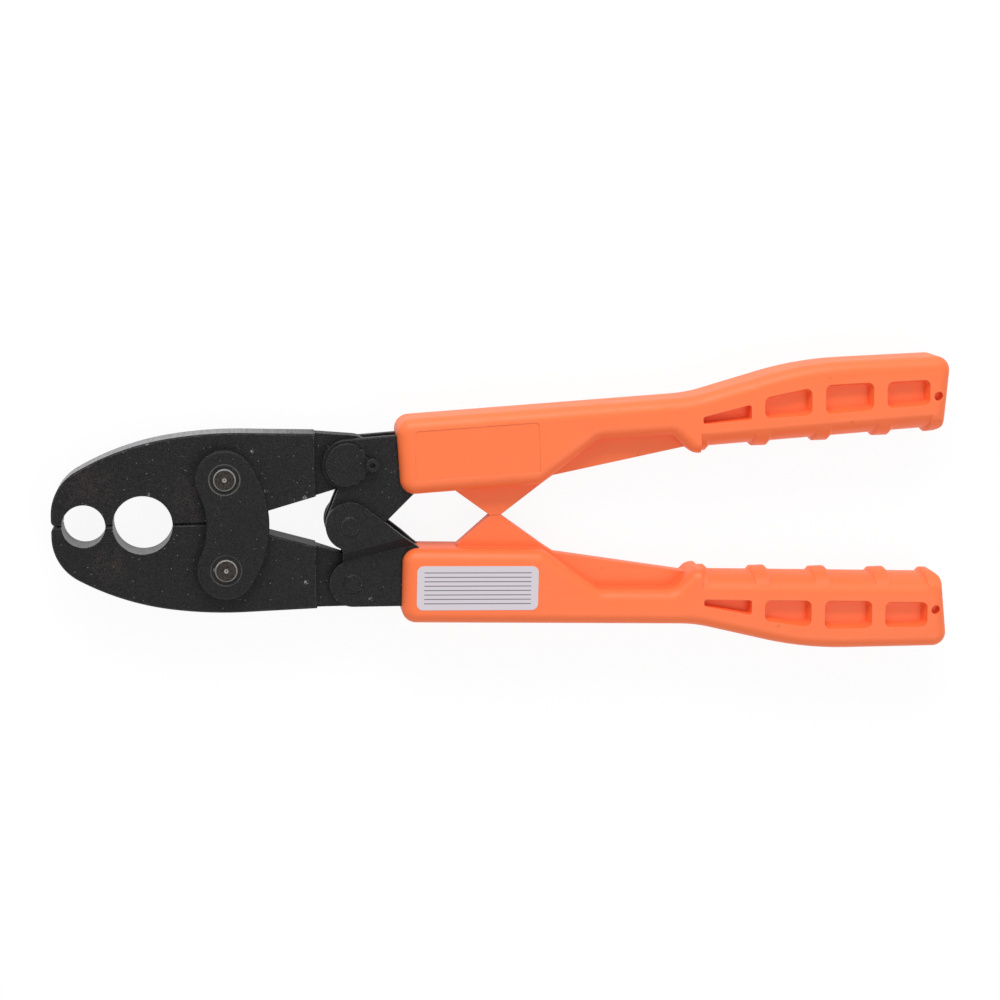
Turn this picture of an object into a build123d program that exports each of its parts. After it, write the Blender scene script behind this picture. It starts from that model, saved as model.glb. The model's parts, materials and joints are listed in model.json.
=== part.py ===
from build123d import *
import os
from math import acos, cos, degrees, radians, sin, tan

# Ring crimping tool for plastic water pipe, lying flat with its jaws closed.
# +X runs from the nose to the handle ends, +Z is the thickness.
# The head is drawn about the middle of its two jaw pins, and its parting plane is y = 0.
# The handles are drawn about their centre pin, in a plane that leans a little off the head.
# All pieces are symmetric about the mid-plane z = 0 and are moved to their final origin at the end.

# Clearances
RUNNING_CLEARANCE = 0.05
SIDE_CLEARANCE = 0.05
PARTING_GAP = 0.4
STOP_GAP = 0.1
FACE_SEARCH = 0.01

# Dies: the closed sizes that the two ring sizes are crimped to
SMALL_DIE_DIAMETER = 14.9
LARGE_DIE_DIAMETER = 20.5
SMALL_DIE_X = -48.6
LARGE_DIE_X = -28.4

# Jaws
JAW_THICKNESS = 12.7
TAIL_THICKNESS = 6.4
JAW_PIN_SPACING = 31.9
NOSE_X = -59.6
NOSE_HALF_HEIGHT = 3.8
NOSE_CORNER_RADIUS = 1.8
SHOULDER = (-50.7, 19.1)
FLANK = (-19.3, 30.05)
CREST = (5.5, 31.7)
HEEL = (31.5, 30.95)
THROAT_X = 1.0
THROAT_SLOPE = 15.9
TAIL_END_RADIUS = 8.5
JAW_EDGE_CHAMFER = 0.5
DIE_EDGE_CHAMFER = 0.3

# Link plates that hold the two jaw pins
LINK_THICKNESS = 4.0
LINK_END_RADIUS = 10.2
LINK_WAIST = 6.5
LINK_BULGE = 15.2
LINK_EDGE_CHAMFER = 0.5
LINK_DISH_RADIUS = 5.3
LINK_DISH_DEPTH = 0.3

# Pins
JAW_PIN_RADIUS = 5.5
JAW_PIN_END_RADIUS = 3.9
CENTRE_PIN_RADIUS = 3.5
ARM_PIN_HEAD_RADIUS = 3.5
ARM_PIN_HEAD_DEPTH = 1.2
ARM_PIN_RADIUS = 2.6
PIN_PROUD = 0.5
PIN_CHAMFER = 0.4
PIN_DOT_RADIUS = 0.45
PIN_DOT_DEPTH = 0.4
SPACER_RADIUS = 6.2

# Where the handles sit on the head
CENTRE_PIN = (43.2, -1.5)
HANDLE_SKEW = 1.1

# Points about the centre pin, in the handles' own plane
CAM_AXIS = (-0.2, 21.35)
LOWER_ARM_PIN = (0.65, -20.95)

# Steel arms
ARM_THICKNESS = 3.0
ARM_LOBE_RADIUS = 8.3
ARM_CAM_END_RADIUS = 8.8
ARM_CHEEK_RADIUS = 8.5
ARM_EDGE_SLOPE = 43.5
ARM_WAIST = (-3.3, 13.4)
ARM_WAIST_RADIUS = 1.2
ARM_SHOULDER = (16.7, 31.0)
TANG_END_X = 70.0
TANG_INNER_Y = 15.0
TANG_OUTER_Y = 33.0
CHEEK_EDGE_SLOPE = -39.9
LOWER_WAIST = (-2.8, -14.2)
LOWER_NECK_Y = -7.9
LOWER_HEEL = (16.5, -29.7)
JOGGLE_LEAN = 12.3
JOGGLE_TOP = 8.6
JOGGLE_FOOT = 12.3
JOGGLE_INNER_TOP = 8.4
JOGGLE_INNER_FOOT = 11.6
ARM_EDGE_CHAMFER = 0.3

# Slot in the lower jaw's tail, which lets the linkage open with one steady ratio
SLOT_OUTWARD = 4.35
SLOT_INWARD = 1.35
SLOT_SIDE = 1.0
SLOT_SHIFT = -0.2

# Adjusting cam
CAM_RADIUS = 7.8
CAM_THICKNESS = 1.9
CAM_JOURNAL_RADIUS = 6.9
CAM_ECCENTRICITY = 2.0
CAM_ECCENTRIC_ANGLE = 47.0
CAM_ECCENTRIC_RADIUS = 4.7
CAM_TAIL_RADIUS = 2.5
CAM_NOTCH_COUNT = 6
CAM_NOTCH_PITCH = 26.5
CAM_NOTCH_RADIUS = 1.45
CAM_NOTCHES_BELOW = 3
CAM_EDGE_CHAMFER = 0.3
CAM_WASHER_RADIUS = 5.6
CAM_WASHER_THICKNESS = 1.0
CAM_RING_RADIUS = 4.4
CAM_RING_THICKNESS = 0.8
CAM_GROOVE_RADIUS = 2.0
CAM_RING_GAP = 2.4
CAM_TAIL_PROUD = 0.7

# Screw that locks the cam
SCREW_CIRCLE_RADIUS = 8.6
SCREW_RADIUS = 1.35
SCREW_HEAD_RADIUS = 2.4
SCREW_HEAD_HEIGHT = 2.1
SCREW_SOCKET = 2.0
SCREW_SOCKET_DEPTH = 1.2

# Spacer blocks and rivets inside the grips
BLOCK_START_X = 27.0
BLOCK_END_X = 66.0
BLOCK_MARGIN = 2.5
RIVET_RADIUS = 2.5
RIVET_FIRST_X = 34.0
RIVET_SPACING = 25.0

# Grips
GRIP_THICKNESS = 22.0
GRIP_EDGE_RADIUS = 4.5
GRIP_CORNER_RADIUS = 5.2
GRIP_END_RADIUS = 5.0
GRIP_INNER_END_RADIUS = 5.5
GRIP_START = (17.1, 36.7)
GRIP_FRONT_X = 18.2
GRIP_INNER_Y = 10.1
FLARE_START = (117.0, 41.0)
FLARE_RISE = (127.0, 42.45)
FLARE_TOP = (148.0, 48.0)
FLARE_END = (178.0, 52.2)
GRIP_OUTER_END = (216.0, 52.9)
GRIP_INNER_END = (213.3, 26.8)
HAND_START = (122.0, 22.5)
RELIEF_END = (114.6, 28.2)
RELIEF_TOP = (88.2, 27.2)
RELIEF_START = (67.5, 12.2)
# Web on the inner side of each grip, with the stop that meets the other grip's
WEB_THICKNESS = 5.0
STOP_LEVEL = 0.85
STOP_FOOT = (37.6, 10.3)
STOP_TIP_FIRST_X = 49.8
STOP_TIP_LAST_X = 53.6
STOP_HEEL = (68.5, 11.7)
WEB_START = (72.4, 14.4)
WEB_END = (121.5, 23.2)
WEB_ROOT_END = (119.0, 34.0)
WEB_ROOT_START = (45.0, 24.0)

# The lower grip leans a little on its steel, about a point far down the hand
LEAN_PIVOT = (185.0, -37.0)
LOWER_GRIP_LEAN = 0.43

# Round inner side of the hand, and the finger ribs across it
HAND_ROUND = 7.5
HAND_CREASE = 0.15
RIB_FIRST_X = 124.7
RIB_SPACING = 22.2
RIB_COUNT = 4
RIB_HEIGHT = 1.5
RIB_WIDTH = 7.6
RIB_CHAMFER = 1.4
RIB_FADE = 0.15
END_RIB_X = 208.3
END_RIB_WIDTH = 3.2

# Pockets in both faces of each grip
POCKET_DEPTH = 4.4
POCKET_DRAFT = 14.0
POCKET_CORNER_RADIUS = 2.2
POCKETS = [
    [(147.4, 32.9), (164.5, 33.6), (164.5, 43.5), (147.4, 40.4)],
    [(169.4, 33.8), (186.9, 34.6), (186.9, 44.6), (169.4, 44.2)],
    [(191.8, 35.1), (207.5, 35.8), (207.5, 44.9), (191.8, 44.5)],
]
SLENDER_POCKET = [(125.2, 31.7), (142.6, 32.7), (142.6, 38.2), (125.2, 34.3)]
SLENDER_POCKET_DRAFT = 6.0
SLENDER_POCKET_CORNER_RADIUS = 0.95

# Setting dot and bare panel on the front face
DOT = (210.6, 38.8)
DOT_RADIUS = 1.65
DOT_DEPTH = 3.0
PANEL = [(23.2, 15.2), (67.2, 16.9), (66.9, 34.5), (23.3, 32.8)]
PANEL_CORNER_RADIUS = 1.5
PANEL_DEPTH = 0.2

# Levels above the mid-plane
TAIL_FACE = TAIL_THICKNESS / 2
ARM_INNER = TAIL_FACE + SIDE_CLEARANCE
ARM_OUTER = ARM_INNER + ARM_THICKNESS
CHEEK_INNER = ARM_OUTER + SIDE_CLEARANCE
CHEEK_OUTER = CHEEK_INNER + ARM_THICKNESS
LINK_INNER = JAW_THICKNESS / 2 + SIDE_CLEARANCE
LINK_OUTER = LINK_INNER + LINK_THICKNESS
GRIP_FACE = GRIP_THICKNESS / 2

HANDLE = Plane(
    origin=(*CENTRE_PIN, 0),
    x_dir=(cos(radians(HANDLE_SKEW)), sin(radians(HANDLE_SKEW)), 0),
    z_dir=(0, 0, 1),
)
ECCENTRIC_AXIS = (
    CAM_AXIS[0] + CAM_ECCENTRICITY * cos(radians(CAM_ECCENTRIC_ANGLE)),
    CAM_AXIS[1] + CAM_ECCENTRICITY * sin(radians(CAM_ECCENTRIC_ANGLE)),
)
SCREW_AXIS = (CAM_AXIS[0] + SCREW_CIRCLE_RADIUS, CAM_AXIS[1])
HAND_SLOPE = (GRIP_INNER_END[1] - HAND_START[1]) / (GRIP_INNER_END[0] - HAND_START[0])


def on_head(point):
    """A point of the handles' plane, given in the head's own x and y."""
    place = HANDLE.from_local_coords(Vector(*point))
    return place.X, place.Y


def touch_point(start, centre, radius, side):
    """Where a line from start touches a circle, on the left (+1) or right (-1) of the way to it."""
    away = Vector(*start) - Vector(*centre)
    opening = degrees(acos(radius / away.length))
    spoke = away.normalized().rotate(Axis.Z, -side * opening) * radius
    return centre[0] + spoke.X, centre[1] + spoke.Y


def on_circle(centre, radius, angle):
    """The point of a circle at an angle in degrees."""
    return centre[0] + radius * cos(radians(angle)), centre[1] + radius * sin(radians(angle))


def throat_y(x):
    """Half-height of the V between the two jaws, behind their pins."""
    return PARTING_GAP / 2 + (x - THROAT_X) * tan(radians(THROAT_SLOPE))


def outline_edges(part, level):
    """The outer edges of a piece's flat face at a level above the mid-plane."""
    flat = part.faces().filter_by(Plane.XY).filter_by_position(Axis.Z, level - FACE_SEARCH, level + FACE_SEARCH)
    return flat.sort_by(SortBy.AREA)[-1].outer_wire().edges()


def jaw_body(side):
    """The thick part of a jaw: nose, back and throat. side is +1 for the upper jaw."""
    nose = (NOSE_X, side * PARTING_GAP / 2)
    with BuildSketch(Plane.XY.offset(-JAW_THICKNESS / 2)) as outline:
        with BuildLine():
            front = Line(nose, (NOSE_X, side * NOSE_HALF_HEIGHT))
            shoulder = TangentArc(front @ 1, (SHOULDER[0], side * SHOULDER[1]), tangent=front % 1)
            flank = TangentArc(shoulder @ 1, (FLANK[0], side * FLANK[1]), tangent=shoulder % 1)
            crest = TangentArc(flank @ 1, (CREST[0], side * CREST[1]), tangent=flank % 1)
            Polyline(
                crest @ 1,
                (HEEL[0], side * HEEL[1]),
                (HEEL[0], side * throat_y(HEEL[0])),
                (THROAT_X, side * PARTING_GAP / 2),
                nose,
            )
        make_face()
        fillet(outline.vertices().sort_by_distance(nose)[0], NOSE_CORNER_RADIUS)
    extrude(outline.sketch, amount=JAW_THICKNESS)


def jaw_tail(side, hole):
    """The thin tail of a jaw, which ends in a round about its arm pin's hole."""
    outer = (HEEL[0], side * HEEL[1])
    inner = (HEEL[0], side * throat_y(HEEL[0]))
    root_x = HEEL[0] - JAW_THICKNESS / 2
    with BuildSketch(Plane.XY.offset(-TAIL_FACE)) as outline:
        Polygon(
            (root_x, side * throat_y(root_x)),
            inner,
            touch_point(inner, hole, TAIL_END_RADIUS, -side),
            hole,
            touch_point(outer, hole, TAIL_END_RADIUS, side),
            outer,
            (root_x, outer[1]),
            align=None,
        )
        with Locations(hole):
            Circle(TAIL_END_RADIUS)
    extrude(outline.sketch, amount=TAIL_THICKNESS)


def jaw_openings(side):
    """The pin bore and the two half-round dies."""
    with Locations((0, side * JAW_PIN_SPACING / 2, 0)):
        Cylinder(JAW_PIN_RADIUS + RUNNING_CLEARANCE, JAW_THICKNESS, mode=Mode.SUBTRACT)
    for x, diameter in ((SMALL_DIE_X, SMALL_DIE_DIAMETER), (LARGE_DIE_X, LARGE_DIE_DIAMETER)):
        with Locations((x, 0, 0)):
            Cylinder(diameter / 2, JAW_THICKNESS, mode=Mode.SUBTRACT)


def break_edges(part, level, size):
    """Chamfer the outline of a flat piece on both faces."""
    chamfer(outline_edges(part, level) + outline_edges(part, -level), size)


with BuildPart() as upper_jaw:
    jaw_body(1)
    break_edges(upper_jaw, JAW_THICKNESS / 2, JAW_EDGE_CHAMFER)
    jaw_tail(1, on_head(ECCENTRIC_AXIS))
    jaw_openings(1)
    with Locations(on_head(ECCENTRIC_AXIS)):
        Cylinder(CAM_ECCENTRIC_RADIUS + RUNNING_CLEARANCE, TAIL_THICKNESS, mode=Mode.SUBTRACT)

with BuildPart() as lower_jaw:
    jaw_body(-1)
    break_edges(lower_jaw, JAW_THICKNESS / 2, JAW_EDGE_CHAMFER)
    jaw_tail(-1, on_head(LOWER_ARM_PIN))
    jaw_openings(-1)
    slot_radius = ARM_PIN_RADIUS + RUNNING_CLEARANCE
    slot_middle = (SLOT_INWARD - SLOT_OUTWARD) / 2
    with BuildSketch(Plane.XY.offset(-TAIL_FACE)) as slot:
        with Locations(Vector(*on_head(LOWER_ARM_PIN)) + Vector(SLOT_SHIFT, slot_middle)):
            RectangleRounded(
                2 * slot_radius + SLOT_SIDE,
                2 * slot_radius + SLOT_OUTWARD + SLOT_INWARD,
                slot_radius,
            )
    extrude(amount=TAIL_THICKNESS, mode=Mode.SUBTRACT)


def link_plate(lowest):
    """A kidney plate whose round ends run tangent into its waist and its bulge."""
    half = JAW_PIN_SPACING / 2
    bulge_centre = (LINK_BULGE - LINK_END_RADIUS) ** 2 - half**2
    bulge_centre /= 2 * (LINK_BULGE - LINK_END_RADIUS)
    bulge_radius = LINK_BULGE - bulge_centre
    waist_radius = LINK_WAIST**2 + half**2 - LINK_END_RADIUS**2
    waist_radius /= 2 * (LINK_END_RADIUS - LINK_WAIST)
    waist_centre = (-LINK_WAIST - waist_radius, 0)
    top_in = (Vector(0, half) - Vector(bulge_centre, 0)).normalized() * bulge_radius
    top_out = (Vector(0, half) - Vector(*waist_centre)).normalized() * waist_radius
    bulge_top = (bulge_centre + top_in.X, top_in.Y)
    waist_top = (waist_centre[0] + top_out.X, top_out.Y)
    with BuildSketch(Plane.XY.offset(lowest)) as outline:
        with BuildLine():
            ThreePointArc(bulge_top, (LINK_BULGE, 0), (bulge_top[0], -bulge_top[1]))
            ThreePointArc(
                (bulge_top[0], -bulge_top[1]), (0, -half - LINK_END_RADIUS), (waist_top[0], -waist_top[1])
            )
            ThreePointArc((waist_top[0], -waist_top[1]), (-LINK_WAIST, 0), waist_top)
            ThreePointArc(waist_top, (0, half + LINK_END_RADIUS), bulge_top)
        make_face()
        with Locations((0, half), (0, -half)):
            Circle(JAW_PIN_END_RADIUS, mode=Mode.SUBTRACT)
    extrude(outline.sketch, amount=LINK_THICKNESS)


with BuildPart() as front_link_plate:
    link_plate(LINK_INNER)
    chamfer(outline_edges(front_link_plate, LINK_OUTER), LINK_EDGE_CHAMFER)
    with Locations((0, JAW_PIN_SPACING / 2, LINK_OUTER), (0, -JAW_PIN_SPACING / 2, LINK_OUTER)):
        Cylinder(LINK_DISH_RADIUS, 2 * LINK_DISH_DEPTH, mode=Mode.SUBTRACT)

with BuildPart() as rear_link_plate:
    mirror(front_link_plate.part, about=Plane.XY)


def turn(stations, place):
    """Turn a profile of radius and level pairs about a vertical axis through place."""
    x, y = place
    with BuildSketch(Plane(origin=(x, y, 0), x_dir=(1, 0, 0), z_dir=(0, -1, 0))) as profile:
        Polygon(*stations, align=None)
    revolve(profile.sketch, axis=Axis((x, y, 0), (0, 0, 1)))


def pin(place, radius, top, steps=(), dotted=False):
    """A pin with chamfered ends, alike above and below; steps run from its end towards the middle."""
    centre = [(0, top - PIN_DOT_DEPTH), (PIN_DOT_RADIUS, top)] if dotted else [(0, top)]
    upper = [*centre, (radius - PIN_CHAMFER, top), (radius, top - PIN_CHAMFER), *steps]
    turn(upper + [(r, -level) for r, level in reversed(upper)], place)


JAW_PIN_STEPS = [(JAW_PIN_END_RADIUS, LINK_INNER), (JAW_PIN_RADIUS, LINK_INNER)]

with BuildPart() as upper_jaw_pin:
    pin((0, JAW_PIN_SPACING / 2), JAW_PIN_END_RADIUS, LINK_OUTER + PIN_PROUD, JAW_PIN_STEPS, True)

with BuildPart() as lower_jaw_pin:
    pin((0, -JAW_PIN_SPACING / 2), JAW_PIN_END_RADIUS, LINK_OUTER + PIN_PROUD, JAW_PIN_STEPS, True)


def upper_arm_outline():
    """An upper arm's plan: a lobe on the centre pin, a round end on the cam and a tang to the right."""
    edge_start = on_circle((0, 0), ARM_LOBE_RADIUS, ARM_EDGE_SLOPE - 90)
    edge_run = (TANG_INNER_Y - edge_start[1]) / tan(radians(ARM_EDGE_SLOPE))
    with BuildSketch(HANDLE.offset(ARM_INNER)) as outline:
        Polygon(
            (0, 0),
            edge_start,
            (edge_start[0] + edge_run, TANG_INNER_Y),
            (TANG_END_X, TANG_INNER_Y),
            (TANG_END_X, TANG_OUTER_Y),
            ARM_SHOULDER,
            touch_point(ARM_SHOULDER, CAM_AXIS, ARM_CAM_END_RADIUS, -1),
            CAM_AXIS,
            ARM_WAIST,
            touch_point(ARM_WAIST, (0, 0), ARM_LOBE_RADIUS, -1),
            align=None,
        )
        Circle(ARM_LOBE_RADIUS)
        with Locations(CAM_AXIS):
            Circle(ARM_CAM_END_RADIUS)
        fillet(outline.vertices().sort_by_distance(ARM_WAIST)[0], ARM_WAIST_RADIUS)
        Circle(CENTRE_PIN_RADIUS + RUNNING_CLEARANCE, mode=Mode.SUBTRACT)
    return outline.sketch


def rivet_places(side):
    """The two rivets, midway between the tang's edges."""
    y = side * (TANG_INNER_Y + TANG_OUTER_Y) / 2
    return [(RIVET_FIRST_X, y), (RIVET_FIRST_X + RIVET_SPACING, y)]


def drill(plane, places, radius, depth):
    """Straight holes from a plane down through a plate."""
    with BuildSketch(plane) as circles:
        with Locations(*places):
            Circle(radius)
    extrude(circles.sketch, amount=-depth, mode=Mode.SUBTRACT)


with BuildPart() as upper_arm_front_plate:
    extrude(upper_arm_outline(), amount=ARM_THICKNESS)
    chamfer(outline_edges(upper_arm_front_plate, ARM_OUTER), ARM_EDGE_CHAMFER)
    drill(HANDLE.offset(ARM_OUTER), [CAM_AXIS], CAM_JOURNAL_RADIUS, ARM_THICKNESS)
    drill(HANDLE.offset(ARM_OUTER), [SCREW_AXIS], SCREW_RADIUS, ARM_THICKNESS)
    drill(HANDLE.offset(ARM_OUTER), rivet_places(1), RIVET_RADIUS, ARM_THICKNESS)

with BuildPart() as rear_plate_blank:
    extrude(upper_arm_outline(), amount=ARM_THICKNESS)
    chamfer(outline_edges(rear_plate_blank, ARM_OUTER), ARM_EDGE_CHAMFER)
    drill(HANDLE.offset(ARM_OUTER), [CAM_AXIS], CAM_TAIL_RADIUS, ARM_THICKNESS)
    drill(HANDLE.offset(ARM_OUTER), rivet_places(1), RIVET_RADIUS, ARM_THICKNESS)

with BuildPart() as upper_arm_rear_plate:
    mirror(rear_plate_blank.part, about=Plane.XY)


def joggled_sheet():
    """A sheet that steps down from the cheek's level to the arm's, along a line below the centre pin."""
    lean = radians(JOGGLE_LEAN)
    across = Plane(
        origin=HANDLE.from_local_coords(Vector(0, 0)),
        x_dir=HANDLE.from_local_coords(Vector(sin(lean), -cos(lean))) - HANDLE.origin,
        z_dir=HANDLE.origin - HANDLE.from_local_coords(Vector(cos(lean), sin(lean))),
    )
    reach = TANG_END_X + ARM_CHEEK_RADIUS
    with BuildSketch(across) as profile:
        Polygon(
            (-reach, CHEEK_OUTER),
            (-reach, CHEEK_INNER),
            (JOGGLE_INNER_TOP, CHEEK_INNER),
            (JOGGLE_INNER_FOOT, ARM_INNER),
            (reach, ARM_INNER),
            (reach, ARM_OUTER),
            (JOGGLE_FOOT, ARM_OUTER),
            (JOGGLE_TOP, CHEEK_OUTER),
            align=None,
        )
    extrude(profile.sketch, amount=reach, both=True)


def lower_arm_outline():
    """A lower arm's plan: a cheek on the centre pin, a lobe on the arm pin and a tang to the right."""
    edge_start = on_circle((0, 0), ARM_CHEEK_RADIUS, 90 + CHEEK_EDGE_SLOPE)
    edge_run = (-TANG_INNER_Y - edge_start[1]) / tan(radians(CHEEK_EDGE_SLOPE))
    with BuildSketch(HANDLE) as outline:
        Polygon(
            edge_start,
            (edge_start[0] + edge_run, -TANG_INNER_Y),
            (TANG_END_X, -TANG_INNER_Y),
            (TANG_END_X, -TANG_OUTER_Y),
            LOWER_HEEL,
            touch_point(LOWER_HEEL, LOWER_ARM_PIN, ARM_LOBE_RADIUS, 1),
            LOWER_ARM_PIN,
            LOWER_WAIST,
            (LOWER_WAIST[0], LOWER_NECK_Y),
            (0, 0),
            align=None,
        )
        Circle(ARM_CHEEK_RADIUS)
        with Locations(LOWER_ARM_PIN):
            Circle(ARM_LOBE_RADIUS)
    return outline.sketch


with BuildPart() as lower_arm_front_plate:
    joggled_sheet()
    extrude(lower_arm_outline(), amount=CHEEK_OUTER, mode=Mode.INTERSECT)
    drill(HANDLE.offset(CHEEK_OUTER), [(0, 0)], CENTRE_PIN_RADIUS, CHEEK_OUTER)
    drill(HANDLE.offset(ARM_OUTER), [LOWER_ARM_PIN], ARM_PIN_RADIUS, ARM_THICKNESS)
    drill(HANDLE.offset(ARM_OUTER), [LOWER_ARM_PIN], ARM_PIN_HEAD_RADIUS, ARM_PIN_HEAD_DEPTH)
    drill(HANDLE.offset(ARM_OUTER), rivet_places(-1), RIVET_RADIUS, ARM_THICKNESS)

with BuildPart() as lower_arm_rear_plate:
    mirror(lower_arm_front_plate.part, about=Plane.XY)

with BuildPart() as centre_pin:
    pin(CENTRE_PIN, CENTRE_PIN_RADIUS, CHEEK_OUTER + PIN_PROUD)

with BuildPart() as centre_spacer:
    turn([(CENTRE_PIN_RADIUS, -TAIL_FACE), (SPACER_RADIUS, -TAIL_FACE), (SPACER_RADIUS, TAIL_FACE),
          (CENTRE_PIN_RADIUS, TAIL_FACE)], CENTRE_PIN)

with BuildPart() as lower_arm_pin:
    head_floor = ARM_OUTER - ARM_PIN_HEAD_DEPTH
    pin(
        on_head(LOWER_ARM_PIN),
        ARM_PIN_HEAD_RADIUS,
        ARM_OUTER + PIN_PROUD,
        [(ARM_PIN_HEAD_RADIUS, head_floor), (ARM_PIN_RADIUS, head_floor)],
    )


def cylinder_between(axis, radius, low, high, mode=Mode.ADD):
    """A round along Z between two levels, about a point of the handles' plane."""
    with BuildSketch(HANDLE.offset(low)) as disc:
        with Locations(axis):
            Circle(radius)
    extrude(disc.sketch, amount=high - low, mode=mode)


CAM_TOP = ARM_OUTER + CAM_THICKNESS
WASHER_OUTER = ARM_OUTER + CAM_WASHER_THICKNESS
RING_OUTER = WASHER_OUTER + CAM_RING_THICKNESS

with BuildPart() as adjusting_cam:
    cylinder_between(CAM_AXIS, CAM_RADIUS, ARM_OUTER, CAM_TOP)
    with BuildSketch(HANDLE.offset(ARM_OUTER)):
        with Locations(CAM_AXIS):
            with PolarLocations(
                SCREW_CIRCLE_RADIUS,
                CAM_NOTCH_COUNT,
                start_angle=-CAM_NOTCHES_BELOW * CAM_NOTCH_PITCH,
                angular_range=CAM_NOTCH_COUNT * CAM_NOTCH_PITCH,
            ):
                Circle(CAM_NOTCH_RADIUS)
    extrude(amount=CAM_THICKNESS, mode=Mode.SUBTRACT)
    chamfer(outline_edges(adjusting_cam, CAM_TOP), CAM_EDGE_CHAMFER)
    cylinder_between(CAM_AXIS, CAM_JOURNAL_RADIUS, ARM_INNER, ARM_OUTER)
    cylinder_between(ECCENTRIC_AXIS, CAM_ECCENTRIC_RADIUS, -ARM_INNER, ARM_INNER)
    cylinder_between(CAM_AXIS, CAM_TAIL_RADIUS, -WASHER_OUTER, -ARM_INNER)
    cylinder_between(CAM_AXIS, CAM_GROOVE_RADIUS, -RING_OUTER, -WASHER_OUTER)
    cylinder_between(CAM_AXIS, CAM_TAIL_RADIUS, -RING_OUTER - CAM_TAIL_PROUD, -RING_OUTER)

with BuildPart() as cam_washer:
    cylinder_between(CAM_AXIS, CAM_WASHER_RADIUS, -WASHER_OUTER, -ARM_OUTER)
    cylinder_between(CAM_AXIS, CAM_TAIL_RADIUS, -WASHER_OUTER, -ARM_OUTER, Mode.SUBTRACT)

with BuildPart() as cam_retaining_ring:
    cylinder_between(CAM_AXIS, CAM_RING_RADIUS, -RING_OUTER, -WASHER_OUTER)
    cylinder_between(CAM_AXIS, CAM_GROOVE_RADIUS, -RING_OUTER, -WASHER_OUTER, Mode.SUBTRACT)
    with BuildSketch(HANDLE.offset(-RING_OUTER)):
        with Locations((CAM_AXIS[0] + CAM_RING_RADIUS, CAM_AXIS[1])):
            Rectangle(2 * CAM_RING_RADIUS, CAM_RING_GAP)
    extrude(amount=CAM_RING_THICKNESS, mode=Mode.SUBTRACT)

with BuildPart() as cam_lock_screw:
    cylinder_between(SCREW_AXIS, SCREW_RADIUS, ARM_INNER, CAM_TOP)
    cylinder_between(SCREW_AXIS, SCREW_HEAD_RADIUS, CAM_TOP, CAM_TOP + SCREW_HEAD_HEIGHT)
    chamfer(outline_edges(cam_lock_screw, CAM_TOP + SCREW_HEAD_HEIGHT), CAM_EDGE_CHAMFER)
    with BuildSketch(HANDLE.offset(CAM_TOP + SCREW_HEAD_HEIGHT)):
        with Locations(SCREW_AXIS):
            RegularPolygon(SCREW_SOCKET / 2, 6, major_radius=False)
    extrude(amount=-SCREW_SOCKET_DEPTH, mode=Mode.SUBTRACT)


def spacer_block(side):
    """The block that holds a pair of arm plates apart inside their grip."""
    with BuildSketch(HANDLE.offset(-ARM_INNER)) as outline:
        with Locations(((BLOCK_START_X + BLOCK_END_X) / 2, side * (TANG_INNER_Y + TANG_OUTER_Y) / 2)):
            Rectangle(BLOCK_END_X - BLOCK_START_X, TANG_OUTER_Y - TANG_INNER_Y - 2 * BLOCK_MARGIN)
        with Locations(*rivet_places(side)):
            Circle(RIVET_RADIUS, mode=Mode.SUBTRACT)
    extrude(outline.sketch, amount=2 * ARM_INNER)


with BuildPart() as upper_arm_spacer:
    spacer_block(1)

with BuildPart() as lower_arm_spacer:
    spacer_block(-1)

with BuildPart() as upper_arm_rivets:
    for place in rivet_places(1):
        cylinder_between(place, RIVET_RADIUS, -ARM_OUTER, ARM_OUTER)

with BuildPart() as lower_arm_rivets:
    for place in rivet_places(-1):
        cylinder_between(place, RIVET_RADIUS, -ARM_OUTER, ARM_OUTER)


def leaned(plane, pivot, angle):
    """A plane turned by an angle in degrees about one of its own points."""
    turned = plane.rotated((0, 0, angle))
    shift = plane.from_local_coords(Vector(*pivot)) - turned.from_local_coords(Vector(*pivot))
    return Plane(plane.origin + shift, x_dir=turned.x_dir, z_dir=plane.z_dir)


GRIP_PLANES = {1: HANDLE, -1: leaned(HANDLE, LEAN_PIVOT, -LOWER_GRIP_LEAN)}


def flip(side, *points):
    """Points of the upper grip, or their mirror images for the lower one."""
    return [(x, side * y) for x, y in points]


def hand_edge(x):
    """How far the floor between the finger ribs lies from the grip's axis."""
    return HAND_START[1] + (x - HAND_START[0]) * HAND_SLOPE


def grip_outline(side):
    """The plan of a grip's thick part, from the steel arms to the handle's end."""
    corner, start, rise, top, level = flip(
        side, GRIP_START, FLARE_START, FLARE_RISE, FLARE_TOP, FLARE_END
    )
    end, relief_end, relief_top, relief = flip(side, GRIP_OUTER_END, RELIEF_END, RELIEF_TOP, RELIEF_START)
    inner_end = (GRIP_INNER_END[0], side * (GRIP_INNER_END[1] - RIB_HEIGHT))
    hand = (HAND_START[0], side * (HAND_START[1] - RIB_HEIGHT))
    foot = (GRIP_FRONT_X, side * GRIP_INNER_Y)
    with BuildSketch(GRIP_PLANES[side].offset(-GRIP_FACE)) as outline:
        with BuildLine():
            back = Line(corner, start)
            flare = TangentArc(back @ 1, rise, tangent=back % 1)
            climb = Line(flare @ 1, top)
            crown = TangentArc(climb @ 1, level, tangent=climb % 1)
            Polyline(crown @ 1, end, inner_end, hand, relief_end, relief_top, relief, foot, corner)
        make_face()
        for point, radius in (
            (corner, GRIP_CORNER_RADIUS),
            (foot, GRIP_CORNER_RADIUS),
            (end, GRIP_END_RADIUS),
            (inner_end, GRIP_INNER_END_RADIUS),
            (hand, GRIP_CORNER_RADIUS),
            (relief_end, GRIP_CORNER_RADIUS),
            (relief_top, GRIP_CORNER_RADIUS),
            (relief, GRIP_CORNER_RADIUS),
        ):
            fillet(outline.vertices().sort_by_distance(point)[0], radius)
    return outline.sketch


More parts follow.
